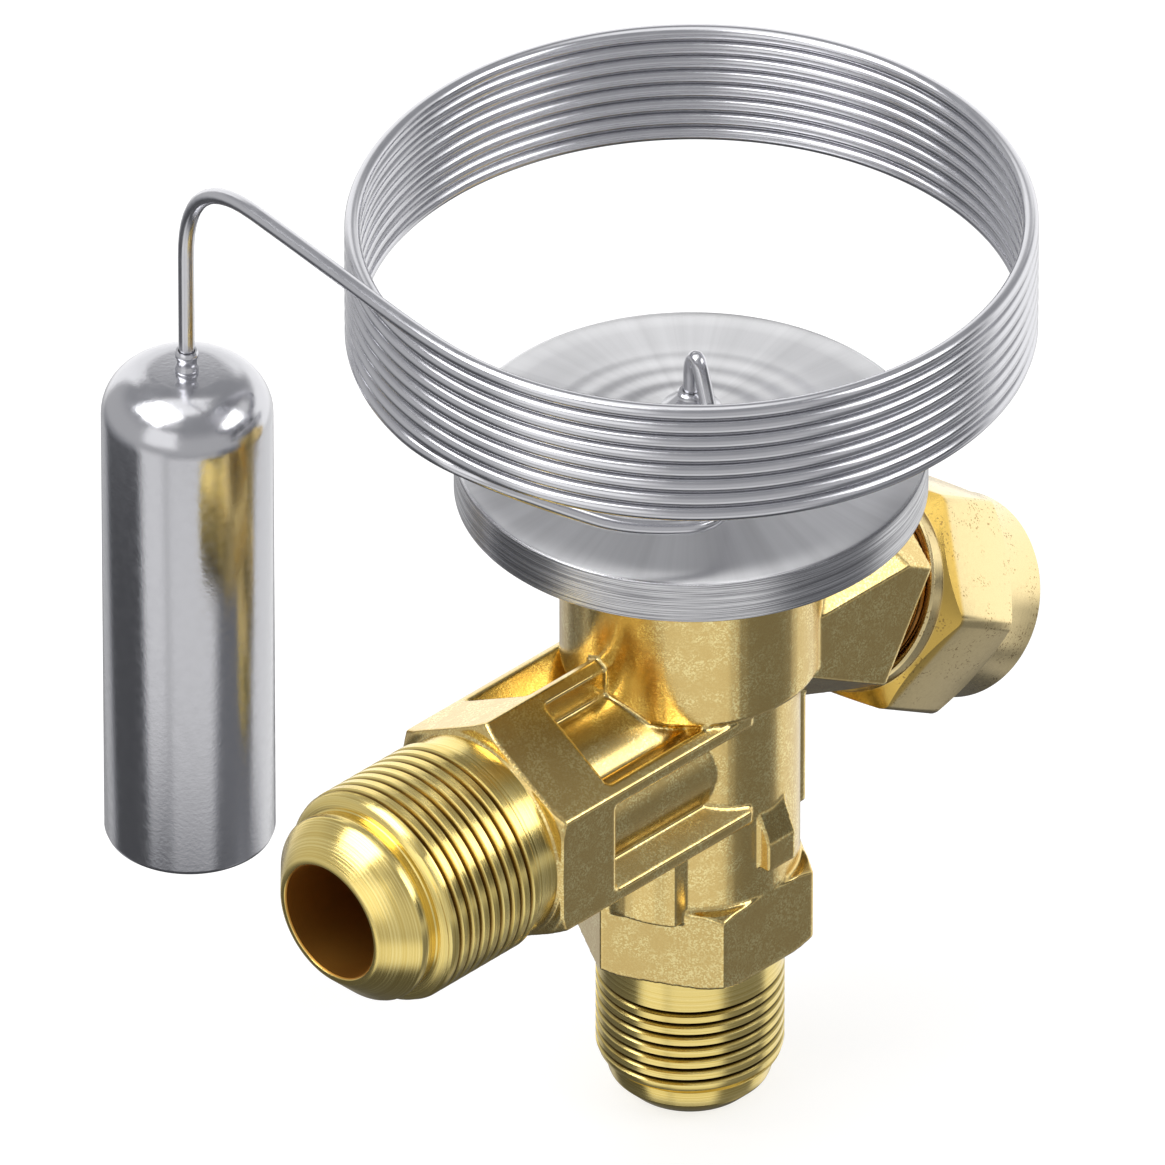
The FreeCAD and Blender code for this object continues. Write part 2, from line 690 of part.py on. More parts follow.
def superheat_setting():
    """The spring, its seat, the forked plunger that lifts the seat, and the screw that drives it."""
    pin_hole = size.push_pin_radius + size.loose_clearance
    seat = turned("spring_seat", [
        (pin_hole, seat_bottom), (size.chamber_radius - size.running_clearance, seat_bottom),
        (size.chamber_radius - size.running_clearance, seat_top), (pin_hole, seat_top)])
    spring = compression_spring("superheat_spring", size.superheat_spring_radius,
                                size.superheat_wire_radius, size.superheat_coils, seat_top, pad_bottom)
    screw_hole = size.spindle_screw_radius + size.running_clearance
    hole_bottom = size.spindle_screw_start - size.plunger_travel - size.running_clearance * 2
    slug = turned("plunger_slug", [
        (ZERO, -size.plunger_tip), (size.plunger_radius, -size.plunger_tip),
        (size.plunger_radius, size.plunger_end), (screw_hole, size.plunger_end),
        (screw_hole, hole_bottom), (ZERO, hole_bottom)], "spindle")
    step = size.chamber_radius + size.plunger_travel + size.loose_clearance
    top = box("plunger_flat", (-size.chamber_radius * 2, -size.plunger_radius * 2, seat_bottom),
              (step, size.plunger_radius * 2, seat_bottom + size.chamber_radius * 2))
    slot = box("plunger_fork", (-size.chamber_radius * 2, -size.fork_half_width, chamber_floor - size.chamber_radius),
               (size.fork_depth, size.fork_half_width, seat_bottom + size.chamber_radius))
    plunger = cut("forked_plunger", slug, top, slot)
    collar_end = size.spindle_collar_start + size.spindle_collar_length
    shaft = turned("spindle_shaft", [
        (ZERO, size.spindle_screw_start), (size.spindle_screw_radius, size.spindle_screw_start),
        (size.spindle_screw_radius, size.spindle_collar_start),
        (size.spindle_collar_radius, size.spindle_collar_start),
        (size.spindle_collar_radius, collar_end), (size.spindle_stem_radius, collar_end),
        (size.spindle_stem_radius, size.spindle_end), (ZERO, size.spindle_end)], "spindle")
    blade = document.addObject("Part::Box", "driver_slot")
    bind(blade, "Length", size.spindle_stem_radius * 4)
    bind(blade, "Width", size.driver_slot_width)
    bind(blade, "Height", size.driver_slot_depth * 2)
    place(blade, "spindle", size.spindle_end - size.driver_slot_depth)
    reach = size.spindle_stem_radius * 2
    angle = size.spindle_angle
    bind(blade, "Placement.Base.x", cosine(angle) * (size.spindle_end - size.driver_slot_depth)
         + sine(angle) * reach)
    bind(blade, "Placement.Base.y", -size.driver_slot_width / 2)
    bind(blade, "Placement.Base.z", spindle_height + cosine(angle) * reach
         - sine(angle) * (size.spindle_end - size.driver_slot_depth))
    spindle = cut("setting_spindle", shaft, blade)
    packing_start = collar_end + size.running_clearance * 2
    gland_start = packing_start + size.packing_length
    gland_end = gland_start + size.gland_length
    outer = size.gland_bore_radius - size.running_clearance / 2
    inner = size.spindle_stem_radius + size.running_clearance
    packing = turned("spindle_packing", [
        (inner, packing_start), (outer, packing_start), (outer, gland_start), (inner, gland_start)],
        "spindle")
    gland = turned("spindle_gland", [
        (inner, gland_start), (outer, gland_start), (outer, gland_end),
        (inner + size.gland_chamfer, gland_end), (inner, gland_end - size.gland_chamfer)],
        "spindle")
    return seat, spring, plunger, spindle, packing, gland


def seal_cap():
    """The hexagon cap over the spindle, and the gasket that it presses on the thread's end."""
    gasket_end = boss_thread_end + size.cap_gasket_thickness
    thread_bore = size.boss_thread_radius + size.running_clearance
    ring_end = size.cap_start + size.cap_ring_length
    corner = size.cap_hex_across / math.sqrt(3)
    ring = cylinder("cap_ring", size.cap_ring_radius, size.cap_start, ring_end, "spindle")
    hex_start = ring_end - size.fusion_overlap
    bar = hexagon("cap_bar", size.cap_hex_across, hex_start, size.cap_hex_end, "spindle",
                  SIZES["cap_hex_turn"])
    limits = turned("cap_corners", [
        (ZERO, hex_start), (corner - size.cap_hex_chamfer, hex_start),
        (corner - size.cap_hex_chamfer, ring_end), (corner, ring_end + size.cap_hex_chamfer),
        (corner, size.cap_hex_end - size.cap_hex_chamfer / 2),
        (corner - size.cap_hex_chamfer, size.cap_hex_end), (ZERO, size.cap_hex_end)], "spindle")
    end_start = size.cap_hex_end - size.fusion_overlap
    end = turned("cap_round_end", [
        (ZERO, end_start), (size.cap_end_radius, end_start),
        (size.cap_end_radius, size.cap_end - size.cap_end_chamfer),
        (size.cap_end_radius - size.cap_end_chamfer, size.cap_end), (ZERO, size.cap_end)], "spindle")
    mouth_floor = size.cap_start + size.cap_mouth_depth
    cavity = turned("cap_cavity", [
        (ZERO, size.cap_start), (size.cap_mouth_radius, size.cap_start),
        (size.cap_mouth_radius, mouth_floor), (thread_bore, mouth_floor), (thread_bore, gasket_end),
        (size.cap_cavity_radius, gasket_end), (size.cap_cavity_radius, size.cap_cavity_end),
        (ZERO, size.cap_cavity_end)], "spindle")
    cap = cut("seal_cap", joined("cap_blank", ring, shared("cap_hex", bar, limits), end), cavity)
    gasket = turned("cap_gasket", [
        (size.cap_cavity_radius, boss_thread_end), (size.boss_thread_radius, boss_thread_end),
        (size.boss_thread_radius, gasket_end), (size.cap_cavity_radius, gasket_end)], "spindle")
    return cap, gasket


def orifice_assembly():
    """The insert in the inlet bore: orifice body, its ring, poppet spring, cup and strainer."""
    outer = size.inlet_bore_radius - size.running_clearance
    ring_height = orifice_bottom + size.orifice_ring_station
    groove = size.orifice_ring_radius + size.running_clearance
    groove_floor = outer - size.orifice_ring_radius * 2
    spigot = size.passage_radius - size.running_clearance
    cup_bottom = orifice_bottom + size.strainer_collar_length
    cup_top = cup_bottom + size.spring_cup_length
    cup_floor = cup_bottom + size.spring_cup_floor
    cup_bore = size.orifice_cavity_radius - size.spring_cup_wall
    body = turned("orifice_body", [
        (size.orifice_cavity_radius, orifice_bottom), (outer, orifice_bottom),
        (outer, ring_height - groove), (groove_floor, ring_height - groove),
        (groove_floor, ring_height + groove), (outer, ring_height + groove),
        (outer, size.orifice_shoulder), (spigot, size.orifice_shoulder), (spigot, orifice_top),
        (size.orifice_port_radius, orifice_top), (size.orifice_port_radius, port_bottom),
        (size.orifice_cavity_radius, port_bottom)])
    ring = torus("orifice_ring", outer - size.orifice_ring_radius, size.orifice_ring_radius, ring_height)
    cup = turned("spring_cup", [
        (size.orifice_port_radius / 2, cup_bottom), (size.orifice_cavity_radius, cup_bottom),
        (size.orifice_cavity_radius, cup_top), (cup_bore, cup_top),
        (cup_bore, cup_floor), (size.orifice_port_radius / 2, cup_floor)])
    spring = compression_spring("orifice_spring", size.orifice_spring_radius, size.orifice_wire_radius,
                                size.orifice_coils, cup_floor, port_bottom - size.poppet_length / 2)
    collar_bottom = orifice_bottom - size.strainer_collar_length
    mesh_inner = size.strainer_radius - size.strainer_wall
    lip = mesh_inner - size.strainer_collar_lip
    step = mesh_inner - size.strainer_collar_step
    step_bottom = collar_bottom + size.strainer_collar_floor
    collar = turned("strainer_collar", [
        (lip, collar_bottom), (outer, collar_bottom), (outer, orifice_bottom),
        (size.orifice_cavity_radius, orifice_bottom), (size.orifice_cavity_radius, cup_bottom),
        (step, cup_bottom), (step, step_bottom), (lip, step_bottom)])
    mesh_bottom = collar_bottom - size.strainer_length
    mesh = turned("strainer_mesh", [
        (ZERO, mesh_bottom), (size.strainer_radius, mesh_bottom), (size.strainer_radius, collar_bottom),
        (mesh_inner, collar_bottom), (mesh_inner, mesh_bottom + size.strainer_wall),
        (ZERO, mesh_bottom + size.strainer_wall)])
    return body, ring, cup, spring, collar, mesh


def capillary_and_bulb():
    """The formed capillary tube from the element to the bulb, with the bulb and its neck."""
    angle = math.radians(SIZES["capillary_exit_angle"])
    coil_radius = size.capillary_coil_radius.value
    heading = FreeCAD.Vector(math.sin(angle), -math.cos(angle), 0)
    outward = FreeCAD.Vector(math.cos(angle), math.sin(angle), 0)
    centre = cover_centre.value
    coil_bottom = centre + size.capillary_coil_height.value
    coil_top = coil_bottom + size.capillary_pitch.value * size.capillary_turns.value
    first = outward * coil_radius + FreeCAD.Vector(0, 0, coil_bottom)
    last = outward * coil_radius + FreeCAD.Vector(0, 0, coil_top)
    lead = [(0, 0, -1.0), (0, 0, 6.85), (-0.3, -1.6, 6.85), (-0.85, -3.3, 1.75),
            (-9.0, -14.6, 1.5), (-16.9, -9.5, 2.4), (-21.3, -6.0, 5.0), (-25.9, -3.2, 8.2)]
    points = [FreeCAD.Vector(x, y, centre + z) for x, y, z in lead]
    points += [first - heading * size.capillary_run_in.value, first]
    corner = last + heading * size.capillary_tail.value
    bulb_top = corner.z - size.bulb_drop.value
    tail = [last, corner, FreeCAD.Vector(corner.x, corner.y, bulb_top)]
    edges = rounded_route(points)
    edges += wound(coil_radius, size.capillary_pitch.value, size.capillary_turns.value,
                   SIZES["capillary_exit_angle"], coil_bottom)
    edges += rounded_route(tail)
    tube = swept("capillary_tube", edges, size.capillary_radius.value)

    top = Size(bulb_top)
    shoulder = top - size.bulb_knuckle
    bulb = turned("sensing_bulb", [
        (ZERO, shoulder - size.bulb_length), (size.bulb_radius, shoulder - size.bulb_length),
        (size.bulb_radius, top), (ZERO, top)])
    knuckle = bulb.newObject("PartDesign::Fillet", "bulb_knuckle")
    document.recompute()
    blank = bulb.Group[-2]
    rims = [f"Edge{number}" for number, edge in enumerate(blank.Shape.Edges, 1)
            if abs(edge.BoundBox.ZMin - bulb_top) < 1e-6 and edge.BoundBox.XLength > size.bulb_radius.value]
    knuckle.Base = (blank, rims)
    bind(knuckle, "Radius", size.bulb_knuckle)
    hole = size.capillary_radius + size.running_clearance
    waist = (hole + size.bulb_neck_radius) / 2
    quarter = size.bulb_neck_length / 4
    neck = turned("bulb_neck", [
        (hole, top), (waist, top), (size.bulb_neck_radius, top + quarter / 2),
        (size.bulb_neck_radius, top + quarter * 1.5), (waist, top + quarter * 2),
        (size.bulb_neck_radius, top + quarter * 2.5), (size.bulb_neck_radius, top + quarter * 3.5),
        (waist, top + quarter * 4), (hole, top + quarter * 4)])
    exit_angle = size.capillary_exit_angle
    for item in (bulb, neck):
        bind(item, "Placement.Base.x",
             cosine(exit_angle) * size.capillary_coil_radius + sine(exit_angle) * size.capillary_tail)
        bind(item, "Placement.Base.y",
             sine(exit_angle) * size.capillary_coil_radius - cosine(exit_angle) * size.capillary_tail)
    return tube, bulb, neck


def check(items):
    """Stops if any object failed, or a sub-part isn't one valid solid."""
    for item in document.Objects:
        if "Invalid" in item.State or "Error" in item.State:
            raise RuntimeError(f"{item.Label} failed: {item.State}")
    for item in items:
        shape = item.Shape
        if shape.isNull() or not shape.isValid() or len(shape.Solids) != 1:
            raise RuntimeError(f"{item.Label} is not one valid solid")


def main():
    items = [valve_body(), *element(), *push_rod(), *superheat_setting(), *seal_cap(),
             *orifice_assembly(), *capillary_and_bulb()]
    document.recompute()
    check(items)
    os.makedirs("parts", exist_ok=True)
    for item in items:
        item.Shape.exportStep(os.path.join("parts", item.Label + ".step"))
        print(item.Label, "volume", round(item.Shape.Volume, 1))


main()
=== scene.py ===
import math
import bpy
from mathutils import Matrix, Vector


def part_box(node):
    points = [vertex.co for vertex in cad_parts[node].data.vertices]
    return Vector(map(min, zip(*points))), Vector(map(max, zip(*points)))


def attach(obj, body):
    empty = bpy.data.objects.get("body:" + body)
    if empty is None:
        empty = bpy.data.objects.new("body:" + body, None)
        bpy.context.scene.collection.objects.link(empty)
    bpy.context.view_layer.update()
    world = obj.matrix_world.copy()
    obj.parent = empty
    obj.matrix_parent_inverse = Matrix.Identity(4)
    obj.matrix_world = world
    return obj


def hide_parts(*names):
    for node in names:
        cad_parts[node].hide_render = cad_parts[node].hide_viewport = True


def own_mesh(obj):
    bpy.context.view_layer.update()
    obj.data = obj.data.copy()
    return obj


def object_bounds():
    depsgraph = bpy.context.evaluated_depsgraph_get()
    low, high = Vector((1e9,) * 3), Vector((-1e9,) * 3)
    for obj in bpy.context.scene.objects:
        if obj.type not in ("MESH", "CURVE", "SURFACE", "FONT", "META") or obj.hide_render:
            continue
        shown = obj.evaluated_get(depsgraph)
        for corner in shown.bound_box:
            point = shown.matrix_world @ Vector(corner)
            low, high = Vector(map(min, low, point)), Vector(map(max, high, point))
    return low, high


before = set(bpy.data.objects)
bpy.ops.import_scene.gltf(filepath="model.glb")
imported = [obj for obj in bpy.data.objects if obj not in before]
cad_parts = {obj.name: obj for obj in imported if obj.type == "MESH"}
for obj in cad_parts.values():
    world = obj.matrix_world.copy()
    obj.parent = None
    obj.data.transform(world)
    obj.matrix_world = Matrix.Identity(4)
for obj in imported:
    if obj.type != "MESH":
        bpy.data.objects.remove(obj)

from types import SimpleNamespace

import bpy
from mathutils import Matrix, Vector

cad_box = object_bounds()

MM = 0.001
TILT = math.radians(30.5)

# How deep the lower housing's spigot goes into the body's neck, in mm
SPIGOT_LENGTH = 2.7

# Stations and radii in mm, read from the solids' meshes in model.glb. The bulb's two corners are in metres.
NECK_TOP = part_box("element_lower_housing")[0].z / MM + SPIGOT_LENGTH
COVER_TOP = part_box("element_upper_cover")[1].z / MM
ELEMENT_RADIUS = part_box("element_upper_cover")[1].x / MM
BULB_LOW, BULB_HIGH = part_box("sensing_bulb")
BULB_RADIUS = (BULB_HIGH.x - BULB_LOW.x) / 2 / MM
BULB_PLACE = ((BULB_LOW.x + BULB_HIGH.x) / 2 / MM, (BULB_LOW.y + BULB_HIGH.y) / 2 / MM, 0)

# Stations in mm that the solids have too: where the outlet's and the spindle's axis leave the valve's own,
# and the inlet hexagon's underside
OUTLET_HEIGHT = 33.4
SPINDLE_HEIGHT = 48.2
HEX_BOTTOM = 11.7

# The capillary's radius, and the radius of the holes that it passes through, in mm
TUBE_RADIUS = 0.68
TUBE_HOLE = 0.73

# The part's three axes: where each leaves the valve's own axis, in mm, and its turn about Y
AXES = {
    "valve": (0, 0.0),
    "outlet": (OUTLET_HEIGHT, math.radians(-90)),
    "spindle": (SPINDLE_HEIGHT, math.radians(90) + TILT),
}

# The three turned ends, in mm: the bore, the thread's crest, depth and pitch, the stations where its groove
# begins and ends, and the direction about the axis in which it begins, in degrees
INLET_END = SimpleNamespace(bore=4.6, crest=7.9375, depth=0.45, pitch=1.17, root=8.4, front=-1.2, turn=45)
OUTLET_END = SimpleNamespace(bore=5.15, crest=9.525, depth=0.45, pitch=1.18, root=27.7, front=38.6, turn=135)
BOSS_END = SimpleNamespace(bore=5.05, crest=7.5, depth=0.4, pitch=1.0, root=20.6, front=26.6, turn=70)
GROOVE_HALF_WIDTH = 0.34  # of the pitch
OVERCUT = 0.15  # mm that the groove's cutter reaches past the crest
FADE_TURNS = 0.4

# The forging's remesh in mm, the passes that relax it, and the most triangles that it keeps
FORGING_VOXEL = 0.18
RELAX_PASSES = 4
MOST_TRIANGLES = 190000


# Helpers

def pick(piece):
    bpy.ops.object.select_all(action="DESELECT")
    piece.select_set(True)
    bpy.context.view_layer.objects.active = piece


def modify(piece, kind, **settings):
    """Adds a modifier, sets it and applies it."""
    pick(piece)
    modifier = piece.modifiers.new(kind.title(), kind)
    for name, value in settings.items():
        setattr(modifier, name, value)
    bpy.ops.object.modifier_apply(modifier=modifier.name)
    return piece


def carve(piece, *tools):
    """Cuts the tools away from the piece, and deletes them."""
    for tool in tools:
        modify(piece, "BOOLEAN", object=tool, operation="DIFFERENCE", solver="EXACT")
        bpy.data.objects.remove(tool)
    return piece


def turned(name, profile, steps=160, closed=True):
    """Spins a profile of points (radius, station) in mm round the Z axis.

    A profile that isn't closed begins and ends on the axis."""
    bpy.ops.object.select_all(action="DESELECT")
    bpy.ops.mesh.primitive_plane_add(size=MM)
    piece = bpy.context.object
    piece.name = name
    bpy.ops.object.mode_set(mode="EDIT")
    bpy.ops.mesh.merge(type="CENTER")
    path = list(profile) + [profile[0]] if closed else list(profile)
    bpy.ops.transform.translate(value=(path[0][0] * MM, 0, path[0][1] * MM))
    for before, after in zip(path, path[1:]):
        step = ((after[0] - before[0]) * MM, 0, (after[1] - before[1]) * MM)
        bpy.ops.mesh.extrude_region_move(TRANSFORM_OT_translate={"value": step})
    bpy.ops.mesh.select_all(action="SELECT")
    bpy.ops.mesh.spin(steps=steps, angle=2 * math.pi, center=(0, 0, 0), axis=(0, 0, 1))
    bpy.ops.mesh.select_all(action="SELECT")
    bpy.ops.mesh.remove_doubles(threshold=0.001 * MM)
    bpy.ops.mesh.normals_make_consistent(inside=False)
    bpy.ops.object.mode_set(mode="OBJECT")
    return piece


def thread_cutter(end, steps=120):
    """A helical groove as a solid: a V section wound along the axis, which fades out at the thread's root."""
    half = end.pitch * GROOVE_HALF_WIDTH
    section = [(end.crest - end.depth, 0), (end.crest + OVERCUT, half), (end.crest + OVERCUT, -half)]
    bpy.ops.object.select_all(action="DESELECT")
    bpy.ops.mesh.primitive_circle_add(vertices=3, radius=end.depth * MM, fill_type="NGON")
    cutter = bpy.context.object
    for vertex, (out, along) in zip(cutter.data.vertices, section):
        vertex.co = (out * MM, 0, (end.root + along) * MM)
    turns = (end.front - end.root) / end.pitch
    count = int(steps * abs(turns))
    modify(cutter, "SCREW", angle=2 * math.pi * turns, screw_offset=(end.front - end.root) * MM, iterations=1,
           steps=count, render_steps=count, use_normal_calculate=True)
    fade = FADE_TURNS * steps
    for index, vertex in enumerate(cutter.data.vertices):
        left = max(0.0, 1 - index // 3 / fade)
        out = vertex.co.xy.length
        vertex.co.xy *= (out + left * left * (end.depth + 0.02) * MM) / out
    cutter.rotation_euler.z = math.radians(end.turn)
    bpy.ops.object.transform_apply(location=False, rotation=True, scale=False)
    bpy.ops.object.mode_set(mode="EDIT")
    bpy.ops.mesh.select_all(action="SELECT")
    bpy.ops.mesh.fill_holes(sides=3)
    bpy.ops.mesh.normals_make_consistent(inside=False)
    bpy.ops.object.mode_set(mode="OBJECT")
    return cutter


def block(low, high):
    """A box between two corners in mm."""
    bpy.ops.object.select_all(action="DESELECT")
    bpy.ops.mesh.primitive_cube_add(size=MM)
    piece = bpy.context.object
    piece.scale = [top - bottom for bottom, top in zip(low, high)]
    piece.location = [(top + bottom) / 2 * MM for bottom, top in zip(low, high)]
    bpy.ops.object.transform_apply(location=True, rotation=True, scale=True)
    return piece


def smoothed(piece, angle=35):
    """Shades the piece smooth, apart from edges sharper than the angle in degrees."""
    pick(piece)
    bpy.ops.object.shade_smooth_by_angle(angle=math.radians(angle))
    return piece


def stand(piece, place=(0, 0, 0), turn=0.0):
    """Turns the piece about the origin's Y axis, moves it by mm, and puts both into its mesh."""
    piece.matrix_world = Matrix.Translation(Vector(place) * MM) @ Matrix.Rotation(turn, 4, "Y")
    pick(piece)
    bpy.ops.object.transform_apply(location=True, rotation=True, scale=True)
    return piece


def on_axis(piece, axis):
    """Stands a piece that was made along Z on one of the part's three axes."""
    height, turn = AXES[axis]
    return stand(piece, (0, 0, height), turn)


def node_copy(node, name):
    """A copy of a node's mesh with its triangles joined up."""
    piece = bpy.data.objects.new(name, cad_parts[node].data.copy())
    bpy.context.collection.objects.link(piece)
    pick(piece)
    bpy.ops.object.mode_set(mode="EDIT")
    bpy.ops.mesh.select_all(action="SELECT")
    bpy.ops.mesh.remove_doubles(threshold=0.002 * MM)
    bpy.ops.object.mode_set(mode="OBJECT")
    return piece


def softened(piece):
    """Remeshes a solid finely and relaxes it, so that its edges and corners get the radius of a forging."""
    modify(piece, "REMESH", mode="VOXEL", voxel_size=FORGING_VOXEL * MM)
    modify(piece, "SMOOTH", factor=0.5, iterations=RELAX_PASSES)
    triangles = 2 * len(piece.data.polygons)
    if triangles > MOST_TRIANGLES:
        modify(piece, "DECIMATE", ratio=MOST_TRIANGLES / triangles)
    pick(piece)
    bpy.ops.object.shade_smooth()
    return modify(piece, "WEIGHTED_NORMAL", mode="FACE_AREA", weight=50)


def dress(piece, material, body, slot, *nodes):
    """Gives the piece its material and body, and hides the nodes that it stands for. The slot is not used."""
    piece.data.materials.clear()
    piece.data.materials.append(material)
    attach(piece, body)
    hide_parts(*nodes)
    return piece


# Materials

def colour(text):
    """An sRGB hex colour as the linear colour that a shader takes."""
    channels = [int(text[i:i + 2], 16) / 255 for i in (1, 3, 5)]
    return tuple(c / 12.92 if c <= 0.04045 else ((c + 0.055) / 1.055) ** 2.4 for c in channels) + (1.0,)


def add_node(tree, kind, inputs=(), **settings):
    """Adds a node with its settings. Each input gets a value, or a link from another node's output."""
    node = tree.nodes.new(kind)
    for name, value in settings.items():
        setattr(node, name, value)
    for name, value in dict(inputs).items():
        if isinstance(value, bpy.types.NodeSocket):
            tree.links.new(value, node.inputs[name])
        else:
            node.inputs[name].default_value = value
    return node


def metal(name, base, roughness, anisotropic=0.0):
    material = bpy.data.materials.new(name)
    material.use_nodes = True
    shader = material.node_tree.nodes["Principled BSDF"]
    shader.inputs["Metallic"].default_value = 1.0
    shader.inputs["Base Color"].default_value = colour(base)
    shader.inputs["Roughness"].default_value = roughness
    shader.inputs["Anisotropic"].default_value = anisotropic
    return material, material.node_tree, shader


def place_coordinates(tree, axis):
    """Object coordinates with Z along one of the part's three axes."""
    height, turn = AXES[axis]
    place = add_node(tree, "ShaderNodeTexCoord").outputs["Object"]
    moved = add_node(tree, "ShaderNodeVectorMath", {0: place, 1: (0, 0, height * MM)}, operation="SUBTRACT")
    return add_node(tree, "ShaderNodeVectorRotate", {"Vector": moved.outputs[0], "Angle": -turn},
                    rotation_type="Y_AXIS").outputs[0]


def along_and_across(tree, vector):
    """A point's station along the axis, its distance from it, and its direction from it."""
    parts = add_node(tree, "ShaderNodeSeparateXYZ", {"Vector": vector}).outputs
    flat = add_node(tree, "ShaderNodeCombineXYZ", {"X": parts["X"], "Y": parts["Y"]}).outputs[0]
    radius = add_node(tree, "ShaderNodeVectorMath", {0: flat}, operation="LENGTH").outputs["Value"]
    direction = add_node(tree, "ShaderNodeVectorMath", {0: flat}, operation="NORMALIZE").outputs[0]
    return parts["Z"], radius, direction


def noise(tree, vector, scale, detail, roughness):
    return add_node(tree, "ShaderNodeTexNoise", {"Vector": vector, "Scale": scale, "Detail": detail,
                                                 "Roughness": roughness}).outputs["Fac"]


def rings(tree, vector, spacing):
    """Noise that is the same all round an axis: the fine marks that a lathe leaves."""
    station, radius, _ = along_and_across(tree, vector)
    lines = add_node(tree, "ShaderNodeCombineXYZ", {"X": radius, "Y": station}).outputs[0]
    return noise(tree, lines, 1 / (spacing * MM), 3.0, 0.65)


def grain(tree, vector, width, detail=2.0):
    return noise(tree, vector, 1 / (width * MM), detail, 0.6)


def cells(tree, vector, width):
    """Small cells, each with a value of its own: speckle and pits."""
    speckle = add_node(tree, "ShaderNodeTexVoronoi", {"Vector": vector, "Scale": 1 / (width * MM)},
                       feature="F1").outputs["Color"]
    return add_node(tree, "ShaderNodeSeparateColor", {"Color": speckle}).outputs["Red"]


def spread(tree, value, low, high, start, end):
    """Maps a value from the range low to high onto start to end, smoothly."""
    return add_node(tree, "ShaderNodeMapRange", {
        "Value": value, "From Min": low, "From Max": high, "To Min": start, "To Max": end},
        interpolation_type="SMOOTHSTEP").outputs["Result"]


def from_noise(tree, value, start, end):
    """Maps the range where most of a noise lies onto start to end."""
    return spread(tree, value, 0.3, 0.7, start, end)


def computed(tree, operation, *operands):
    """A math node's result. Each operand is a number or an output."""
    return add_node(tree, "ShaderNodeMath", enumerate(operands), operation=operation).outputs[0]


def product(tree, first, second):
    return computed(tree, "MULTIPLY", first, second)


def mixed(tree, factor, first, second):
    """A value between two others, by a factor."""
    return add_node(tree, "ShaderNodeMix", {0: factor, 2: first, 3: second}, data_type="FLOAT").outputs[0]


def blended(tree, factor, first, second):
    """A colour between two others, by a factor. Each is a hex colour or an output."""
    first, second = (colour(shade) if isinstance(shade, str) else shade for shade in (first, second))
    return add_node(tree, "ShaderNodeMix", {0: factor, 6: first, 7: second}, data_type="RGBA").outputs[2]


def bump(tree, shader, height, distance):
    """Relief, as a height from 0 to 1 and the distance in mm that it stands for."""
    relief = add_node(tree, "ShaderNodeBump", {"Height": height, "Distance": distance * MM, "Strength": 1.0})
    tree.links.new(relief.outputs[0], shader.inputs["Normal"])


def forged_brass():
    """Hot-forged brass, blasted clean: satin, with a fine pale speckle in patches that is painted glints."""
    material, tree, shader = metal("forged_brass", "#E0C684", 0.21)
    vector = place_coordinates(tree, "valve")
    # Pale speckle painted into the colour in patches: painted glints of the blasted skin
    glint_speckle = spread(tree, cells(tree, vector, 0.13), 0.4, 0.85, 0.0, 1.0)
    patches = spread(tree, grain(tree, vector, 2.4, 4.0), 0.38, 0.6, 0.15, 1.0)
    skin = blended(tree, product(tree, glint_speckle, patches), "#DEC17C", "#F8E6A4")
    tree.links.new(skin, shader.inputs["Base Color"])
    bump(tree, shader, grain(tree, vector, 0.25), 0.005)
    return material


def lathe_brass(name, axis, end, first, last, cut=0.008, skin=("#E8CC74", "#FFEA9C"), groove_shade="#4A3A1A"):
    """Brass off the lathe: fine rings round its axis, as deep as the cut in mm, and a dull bore.

    A thread runs between the stations first and last. Its groove below the crest is painted darker: painted
    shade."""
    material, tree, shader = metal(name, skin[0], 0.2)
    vector = place_coordinates(tree, axis)
    marks = rings(tree, vector, 0.15)
    station, radius, _ = along_and_across(tree, vector)
    below = spread(tree, radius, (end.crest - end.depth * 0.6) * MM, (end.crest - end.depth * 0.1) * MM,
                   1.0, 0.0)
    ends = product(tree, spread(tree, station, (first - 0.05) * MM, (first + 0.1) * MM, 0.0, 1.0),
                   spread(tree, station, (last - 0.1) * MM, (last + 0.05) * MM, 1.0, 0.0))
    outside = spread(tree, radius, (end.bore + 0.05) * MM, (end.bore + 0.15) * MM, 0.0, 1.0)
    # The groove below the crest takes the darker groove_shade colour: painted shade
    groove = product(tree, product(tree, below, ends), outside)
    turned_skin = blended(tree, from_noise(tree, marks, 0.0, 1.0), *skin)
    threaded = blended(tree, groove, turned_skin, groove_shade)
    tree.links.new(blended(tree, outside, "#C08A3C", threaded), shader.inputs["Base Color"])
    polish = from_noise(tree, marks, 0.15, 0.26)
    tree.links.new(mixed(tree, outside, 0.48, polish), shader.inputs["Roughness"])
    bump(tree, shader, marks, cut)
    return material


def cap_brass():
    """Pale machined brass, yellower on its cone, with a few tiny pits."""
    pale = "#F0DAA2"
    material, tree, shader = metal("cap_brass", pale, 0.2)
    vector = place_coordinates(tree, "spindle")
    station, _, _ = along_and_across(tree, vector)
    cone = product(tree, spread(tree, station, 22.75 * MM, 22.95 * MM, 0.0, 1.0),
                   spread(tree, station, 24.0 * MM, 24.7 * MM, 1.0, 0.0))
    pits = product(tree, spread(tree, cells(tree, vector, 0.14), 0.86, 0.92, 0.0, 1.0),
                   spread(tree, grain(tree, vector, 2.5), 0.48, 0.62, 0.0, 0.7))
    skin = blended(tree, pits, blended(tree, cone, pale, "#E4BF62"), "#9A7C48")
    tree.links.new(skin, shader.inputs["Base Color"])
    gloss = from_noise(tree, grain(tree, vector, 0.4, 3.0), 0.16, 0.24)
    tree.links.new(gloss, shader.inputs["Roughness"])
    bump(tree, shader, rings(tree, vector, 0.3), 0.003)
    return material


